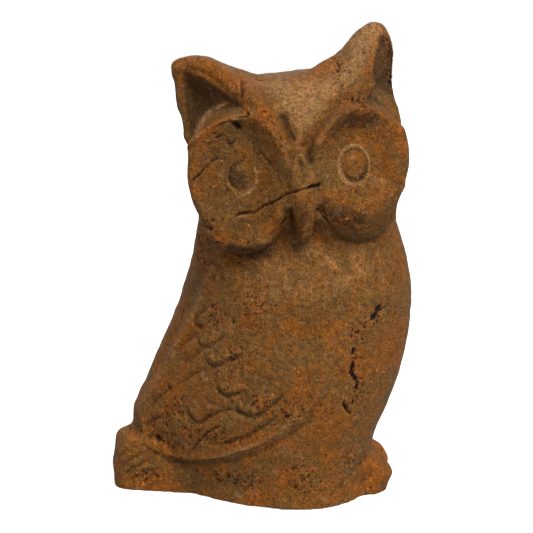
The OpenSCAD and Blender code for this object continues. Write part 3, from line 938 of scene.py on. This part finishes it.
def clay(name, warmth):
    """Unglazed fired clay: mottled brown, orange where it is rubbed, olive and grey where it is soiled, with
    painted shade in its hollows and where the dark mask lays it, and painted light where the pale mask lays
    it.
    """
    s = Shader(name)
    broad = s.noise(26, 3, 0.6)
    middle = s.noise(11, 5, 0.62, warp=0.5)
    small = s.noise(3.0, 4, 0.7)
    grit = s.noise(1.2, 3, 0.75)
    strokes = s.noise(2.6, 3, 0.6, stretch=(1, 1, 5))

    s.colour = s.mix(s.ramp(broad, 0.35 - warmth, 0.68 - warmth), linear(96, 68, 33), linear(110, 65, 18))
    s.tint(s.ramp(middle, 0.5, 0.68), 0.5, (131, 72, 24))
    s.tint(s.ramp(middle, 0.48, 0.32), 0.45, (75, 55, 30))
    s.tint(s.ramp(strokes, 0.52, 0.7), 0.3, (120, 82, 40))
    # paler clay, and painted light where the pale mask lays it
    s.tint(s.patchy("pale", middle, 1.0), 0.7, (142, 106, 68))
    s.tint(s.patchy("orange", middle, 2.0), 0.5, (130, 68, 24))
    # dirt, and painted shade where the dark mask lays it
    s.tint(s.patchy("dark", middle, 1.6), 0.75, (48, 35, 17))
    s.tint(s.ramp(s.mask("hollow"), -0.25, -1.0), 0.45, (136, 90, 44))
    # painted shade in small hollows and in broad valleys of the skin
    s.tint(s.ramp(s.mask("hollow"), 0.12, 0.9), 0.55, (42, 26, 10))
    s.tint(s.ramp(s.mask("valley"), 0.1, 1.0), 0.6, (46, 31, 12))
    dust = s.noise(4.5, 5, 0.7, warp=0.8)
    s.tint(s.ramp(dust, 0.54, 0.68), 0.34, (128, 102, 80))
    s.tint(s.ramp(dust, 0.47, 0.33), 0.3, (92, 49, 10))
    speckle = s.math("ADD", s.math("MULTIPLY", small, 1.5), s.math("MULTIPLY", grit, 1.8))
    s.colour = s.mix(1.0, s.colour, s.ramp(speckle, 0.65, 2.6), "MULTIPLY")
    pores = s.math("MULTIPLY", s.ramp(s.cells(2.9), 0.22, 0.1), s.ramp(small, 0.48, 0.58))
    s.tint(pores, 0.7, (38, 22, 10))
    chips = s.math("MULTIPLY", s.ramp(s.cells(4.7), 0.16, 0.08), s.ramp(middle, 0.45, 0.6))
    s.tint(chips, 0.6, (150, 88, 40))

    torn = s.math("MULTIPLY", s.patchy("rough", middle, 1.6), s.ramp(s.cells(2.8), 0.34, 0.18))
    s.tint(torn, 0.8, (34, 19, 9))
    flakes = s.math("MULTIPLY", s.patchy("rough", small, 1.6), s.ramp(grit, 0.56, 0.68))
    s.tint(flakes, 0.35, (140, 78, 34))
    s.tint(s.ramp(s.mask("crack"), 0.35, 0.85), 1.0, (24, 13, 7))
    s.plug(s.surface.inputs["Base Color"], s.colour)

    s.plug(s.surface.inputs["Roughness"], s.math("MULTIPLY_ADD", small, 0.2, 0.75))
    s.surface.inputs["Specular IOR Level"].default_value = 0.08

    height = s.math("ADD", s.math("MULTIPLY", small, 2.1), s.math("MULTIPLY", grit, 1.5))
    height = s.math("ADD", height, s.math("MULTIPLY", strokes, 0.45))
    height = s.math("SUBTRACT", height, s.math("MULTIPLY", s.math("ADD", torn, pores), 0.6))
    bump = s.make("ShaderNodeBump", {"Distance": MM, "Strength": 1.0, "Height": height})
    s.plug(s.surface.inputs["Normal"], bump.outputs["Normal"])
    return s.material


SLOTS = {part["node"]: part["material_slot"] for part in frame["record"]["subparts"]}
WARMTH = {"brown": 0.0, "orange": 0.05, "olive": -0.04, "raw": 0.08}
CLAYS = {"terracotta_" + name: clay("terracotta_" + name, warmth) for name, warmth in WARMTH.items()}


# ---------- parting the skin into pieces ----------

SHOWN = [name for name in frame["nodes"] if name not in COILS]


def number(name):
    return SHOWN.index(name)


def share_out(skin):
    """Which piece each quad of the skin belongs to, as a number in SHOWN."""
    nodes = [name for name in SHOWN if name not in WINGS]
    tree, owner = tree_of(nodes)
    _, face = nearest(tree, skin.points)
    numbers = np.array([number(name) for name in nodes])[owner[face]]
    votes = np.zeros((len(skin.points), len(SHOWN)))
    votes[np.arange(len(numbers)), numbers] = 1
    body = number("body_shell")
    for name, side in zip(WINGS, (-1, 1)):
        sheet = flank_sheet(skin, side)
        on_wing = (sheet.inside(WING) > 0) & (votes[:, body] > 0) & (side * skin.points[:, 1] > 6)
        votes[on_wing, body] = 0
        votes[on_wing, number(name)] = 1
    votes = np.stack([skin.blur(column, 10) for column in votes.T], axis=1)
    piece = votes[skin.quads].sum(axis=1).argmax(axis=1)
    return join_islands(skin, piece)


def border(skin, piece):
    """The skin's edges that have a different piece on each side."""
    pairs = sides(skin.quads)
    face = np.tile(np.arange(len(skin.quads)), 4)
    order = np.lexsort((pairs[:, 1], pairs[:, 0]))
    first, second = order[0::2], order[1::2]
    differs = piece[face[first]] != piece[face[second]]
    return pairs[first][differs], face[first], face[second]


def join_islands(skin, piece):
    """Gives stray patches of a piece to the piece around them, so that each piece is in one stretch."""
    _, left, right = border(skin, piece)
    for _ in range(3):
        same = piece[left] == piece[right]
        island = islands(len(piece), left[same], right[same])
        size = np.bincount(island, minlength=len(piece))
        biggest = np.zeros(len(SHOWN), dtype=int)
        np.maximum.at(biggest, piece, size[island])
        stray = size[island] < biggest[piece]
        if not stray.any():
            break
        for _ in range(60):
            for here, there in ((left, right), (right, left)):
                take = stray[here] & ~stray[there]
                piece[here[take]] = piece[there[take]]
                stray[here[take]] = False
            if not stray.any():
                break
    return piece


def smooth_borders(skin, piece):
    """Slides the vertices on the borders between pieces along the skin into smooth lines."""
    edges, _, _ = border(skin, piece)
    count = len(skin.points)
    a, b = edges.T
    degree = np.bincount(edges.ravel(), minlength=count)
    on_line = degree == 2
    fixed = degree > 0
    for _ in range(BORDER_PASSES):
        p = skin.points
        normal = skin.normals()
        total = np.stack([np.bincount(a, p[b, k], count) + np.bincount(b, p[a, k], count) for k in range(3)],
                         axis=1)
        step = np.where(on_line[:, None], total / np.maximum(degree, 1)[:, None] - p, 0)
        loose = skin.spread(p) - p
        step = np.where(fixed[:, None], step, 0.6 * loose * (skin.spread(fixed.astype(float)) > 0)[:, None])
        step -= np.sum(step * normal, axis=1, keepdims=True) * normal
        skin.points = p + 0.5 * step


def shell_trees(name):
    """Search trees over the outside and over the cavity of a CAD shell."""
    points, triangles = mesh_arrays(frame["nodes"][name].data)
    whole = search_tree(points, triangles)
    p = points[triangles]
    normal = unit(np.cross(p[:, 1] - p[:, 0], p[:, 2] - p[:, 0]))
    hits = [whole.ray_cast(m + 0.05 * n, n)[0] for m, n in zip(p.mean(axis=1), normal)]
    outer = np.array([hit is None for hit in hits])
    return search_tree(points, triangles[outer]), search_tree(points, triangles[~outer])


def stack_of(name):
    """The numbers of the pieces that sit on a piece."""
    return [number(cover) for cover in COVERS.get(name, ())]


def vertices_of(skin, piece, numbers):
    return np.unique(skin.quads[np.isin(piece, numbers)])


def seat_on_shell(skin, piece, name, thick, outside):
    """The shell's surface under the pieces on it: the CAD shell's own, or deeper where they are thin."""
    seat = skin.points.copy()
    used = vertices_of(skin, piece, stack_of(name))
    normal = unit(skin.blur(skin.normals(), 8))
    found, _ = nearest(outside, skin.points[used])
    depth = np.sum((skin.points[used] - found) * normal[used], axis=1)
    pressed = skin.points[used] - thick[used, None] * normal[used]
    seat[used] = np.where((depth > thick[used])[:, None], found, pressed)
    inner = np.zeros(len(skin.points))
    inner[used] = 1
    return skin.blur(seat, 12, inner)


def directed(quads, count):
    """The edges of quads as single numbers, and their two ends."""
    start = quads.ravel()
    end = np.roll(quads, -1, axis=1).ravel()
    return start * count + end, start, end


def closed_piece(skin, piece, name, seats, back):
    """Points and faces of one piece: its skin, its seats for the pieces on it, its back, the walls between
    them, and a triangle where a seat's wall ends at the piece's rim."""
    count = len(skin.points)
    own = skin.quads[piece == number(name)]
    covered = skin.quads[np.isin(piece, stack_of(name))]
    if name == "base_slab":
        middle = skin.points[own].mean(axis=1)
        vent = (np.hypot(middle[:, 0] - VENT[0], middle[:, 1] - VENT[1]) < VENT[2]) & (middle[:, 2] < 3)
        own = own[~vent]
    layers = [skin.points, seats, back]
    key_own, start, end = directed(own, count)
    key_cover, cover_start, cover_end = directed(covered, count)
    partner = end * count + start
    inside = np.isin(partner, key_own)
    step = ~inside & np.isin(partner, key_cover)
    rim = ~inside & ~step
    cover_partner = cover_end * count + cover_start
    cover_rim = ~np.isin(cover_partner, np.concatenate([key_cover, key_own]))
    faces = [own, covered + count, own[:, ::-1] + 2 * count, covered[:, ::-1] + 2 * count]
    for i, j, top, low in ((start[step], end[step], 0, 1), (start[rim], end[rim], 0, 2),
                           (cover_start[cover_rim], cover_end[cover_rim], 1, 2)):
        faces.append(np.stack([j + top * count, i + top * count, i + low * count, j + low * count], axis=1))
    quads = np.concatenate(faces)
    last = np.intersect1d(end[step], start[rim])
    first = np.intersect1d(start[step], end[rim])
    triangles = np.concatenate([np.stack([last, last + count, last + 2 * count], axis=1),
                                np.stack([first, first + 2 * count, first + count], axis=1)])
    used, flat = np.unique(np.concatenate([quads.ravel(), triangles.ravel()]), return_inverse=True)
    points = np.concatenate(layers)[used]
    return points, flat, len(quads), used


def build_piece(name, points, loops, quad_count, used, skin_normals, masks):
    count = len(skin_normals)
    triangle_count = (len(loops) - 4 * quad_count) // 3
    starts = np.concatenate([np.arange(quad_count) * 4, 4 * quad_count + np.arange(triangle_count) * 3])
    mesh = bpy.data.meshes.new(name)
    mesh.vertices.add(len(points))
    mesh.loops.add(len(loops))
    mesh.polygons.add(len(starts))
    mesh.vertices.foreach_set("co", (points * MM).ravel())
    mesh.loops.foreach_set("vertex_index", loops)
    mesh.polygons.foreach_set("loop_start", starts)
    mesh.update(calc_edges=True)
    outer = used < count
    for mask, values in masks.items():
        column = np.zeros(len(points))
        column[outer] = values[used[outer]]
        mesh.attributes.new(mask, "FLOAT", "POINT").data.foreach_set("value", column)
    mesh.shade_smooth()
    normals = np.zeros((len(points), 3))
    normals[outer] = skin_normals[used[outer]]
    mesh.normals_split_custom_set_from_vertices(normals.tolist())
    slot = SLOTS[name]
    mesh.materials.append(CLAYS[slot])
    made = add_object("clay_" + name, mesh)
    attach(made, "root")
    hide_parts(name)


def part_skin(skin, piece, masks):
    """Makes every shown piece as a closed solid."""
    by_vertex = np.zeros(len(skin.points))
    for k, name in enumerate(SHOWN):
        by_vertex[vertices_of(skin, piece, [k])] = THICK.get(name, THIN)
    thick = skin.blur(by_vertex, 6)
    normal = skin.normals()
    seats, cavity = {}, {}
    for name in ("head_shell", "body_shell"):
        outside, inside = shell_trees(name)
        seats[name] = seat_on_shell(skin, piece, name, thick, outside)
        group = vertices_of(skin, piece, stack_of(name) + [number(name)])
        cavity[name] = skin.points.copy()
        cavity[name][group], _ = nearest(inside, seats[name][group])
    for name in ("right_facial_disc", "left_facial_disc"):
        seats[name] = skin.points - THIN * normal
    carrier = {cover: name for name, covers in COVERS.items() for cover in covers}
    for name in SHOWN:
        if name in cavity:
            back = cavity[name]
        elif name == "base_slab":
            back = skin.points - 4 * normal
            back[:, 2] = SLAB_TOP
        else:
            back = seats[carrier[name]]
        piece_parts = closed_piece(skin, piece, name, seats.get(name, skin.points), back)
        build_piece(name, *piece_parts, normal, masks)


skin = make_skin()
skin.relax(12)
piece = share_out(skin)
smooth_borders(skin, piece)
masks = sculpt(skin)
part_skin(skin, piece, masks)
for name in COILS:
    coil = frame["nodes"][name]
    coil.data.materials.clear()
    coil.data.materials.append(CLAYS["terracotta_raw"])


# ---------- light, floor and camera ----------

AIM = (0.009, -0.031, 0.0008)   # what the camera aims at: x, y, and height over the CAD box's middle, m
DISTANCE = 0.8                  # from the camera to what it aims at, m
ELEVATION = 10                  # how far the camera looks down, degrees
LENS = 94.13                    # mm
SENSOR = 36                     # width, mm


def sun(name, direction, spread, strength, colour):
    """Even light from a far soft box: direction points to the box, spread is its width in degrees."""
    data = bpy.data.lights.new(name, "SUN")
    data.energy = strength
    data.angle = math.radians(spread)
    data.color = colour
    add_object(name, data).rotation_euler = Vector(direction).to_track_quat("Z", "Y").to_euler()


def set_camera():
    low, high = CAD_BOX
    target = Vector((AIM[0], AIM[1], (low.z + high.z) / 2 + AIM[2]))
    data = bpy.data.cameras.new("camera")
    data.lens = LENS
    data.sensor_width = SENSOR
    camera = add_object("camera", data)
    rise = math.radians(ELEVATION)
    back = Vector((0, -math.cos(rise), math.sin(rise)))
    camera.location = target + DISTANCE * back
    camera.rotation_euler = (-back).to_track_quat("-Z", "Y").to_euler()
    data.clip_start = 0.01
    data.clip_end = 50
    bpy.context.scene.camera = camera


def make_floor():
    floor_mesh = bpy.data.meshes.new("floor")
    floor_mesh.from_pydata([(-4, -3, 0), (4, -3, 0), (4, 6, 0), (-4, 6, 0)], [], [(0, 1, 2, 3)])
    floor = add_object("floor", floor_mesh)
    pale = bpy.data.materials.new("pale_floor")
    pale.use_nodes = True
    surface = pale.node_tree.nodes["Principled BSDF"]
    surface.inputs["Base Color"].default_value = (0.22, 0.22, 0.22, 1)
    surface.inputs["Roughness"].default_value = 0.8
    surface.inputs["Emission Color"].default_value = (1, 1, 1, 1)
    surface.inputs["Emission Strength"].default_value = 0.65
    floor_mesh.materials.append(pale)


set_camera()
make_floor()
sun("key", (0.42, -0.72, 0.95), 36, 9.7, (1, 0.98, 0.95))
sun("fill", (0.1, -1.0, 0.25), 60, 1.0, (1, 1, 1))
sun("back", (-0.3, 1.0, 0.8), 60, 3.2, (1, 1, 1))
world = bpy.data.worlds.new("world")
bpy.context.scene.world = world
world.use_nodes = True
world.node_tree.nodes["Background"].inputs[0].default_value = (1, 1, 1, 1)
world.node_tree.nodes["Background"].inputs[1].default_value = 1.0
bpy.context.scene.view_settings.view_transform = "Standard"
